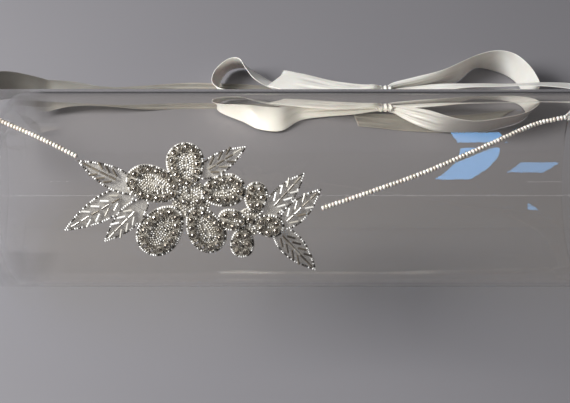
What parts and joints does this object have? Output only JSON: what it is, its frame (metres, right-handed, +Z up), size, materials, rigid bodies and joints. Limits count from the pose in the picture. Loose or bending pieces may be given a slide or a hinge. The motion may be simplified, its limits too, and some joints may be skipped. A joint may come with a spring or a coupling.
{
  "type": "beaded halo headband with ribbon tie on a clear cylinder stand",
  "caption": "Beaded flower and leaf headband on strands of small pearls, tied with a satin ribbon bow round a clear cylinder stand lying on its side.",
  "frame": {"origin": "on the floor, below the middle of the whole", "axes": "+X runs along the clear cylinder towards its open mouth, +Y points away from the front, where the beaded flower is, towards the bow, +Z is up"},
  "size_m": [0.3587, 0.2082, 0.1035],
  "materials": {
    "clear_glass": "clear and polished",
    "net": "sheer net covered with small clear beads",
    "stones": "cut, foiled crystal in bright cups",
    "bugles": "silver lined glass",
    "pearls": "cream pearl",
    "satin": "satin"
  },
  "bodies": {
    "root": {"stand_cylinder": "clear_glass", "flower_net": "net", "small_flower_net": "net", "leaf_upper_left": "net", "leaf_long_left": "net", "leaf_lower_left": "net", "leaf_top": "net", "leaf_right_tip": "net", "leaf_right_back": "net", "leaf_lower_right": "net", "flower_stones": "stones", "small_flower_stones": "stones", "leaf_bugles": "bugles", "strand_left": "pearls", "strand_right": "pearls", "ribbon_left": "satin", "ribbon_right": "satin", "bow_knot": "satin", "bow_loop_left": "satin", "bow_loop_right": "satin", "tail_upper": "satin", "tail_lower": "satin"}
  },
  "joints": []
}
